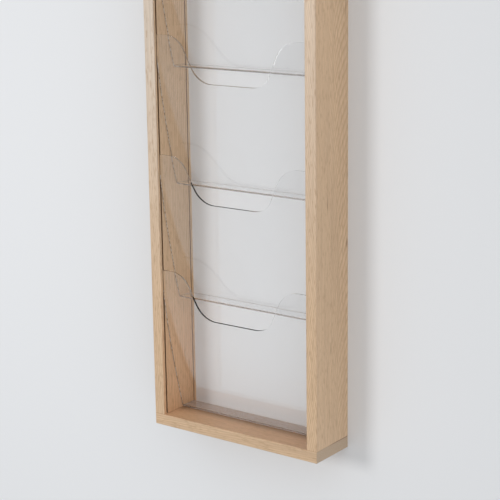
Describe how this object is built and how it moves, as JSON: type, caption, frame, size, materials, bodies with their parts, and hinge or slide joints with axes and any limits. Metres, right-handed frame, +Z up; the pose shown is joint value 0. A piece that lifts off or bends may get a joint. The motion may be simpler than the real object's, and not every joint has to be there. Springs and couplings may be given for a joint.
{
  "type": "wall magazine rack",
  "caption": "Tall narrow wooden wall rack with clear bowed pockets stacked between grooved side boards, hung on hidden keyhole plates.",
  "frame": {"origin": "on the wall plane, midway between the two keyhole entries in the rear edges of the side boards", "axes": "+X to the right along the wall as the front is seen, +Y into the wall, +Z up"},
  "size_m": [0.272, 0.074, 0.8345],
  "materials": {
    "pale_wood": "satin lacquer",
    "clear_sheet": "polished clear",
    "dowel_wood": "bare",
    "zinc_steel": "zinc plated"
  },
  "bodies": {
    "root": {"left_side": "pale_wood", "right_side": "pale_wood", "bottom_board": "pale_wood", "top_board": "pale_wood", "back_sheet": "clear_sheet", "pocket_1": "clear_sheet", "pocket_2": "clear_sheet", "pocket_3": "clear_sheet", "pocket_4": "clear_sheet", "bottom_dowels": "dowel_wood", "top_screws": "zinc_steel", "left_hanger": "zinc_steel", "right_hanger": "zinc_steel", "hanger_screws": "zinc_steel"}
  },
  "joints": []
}
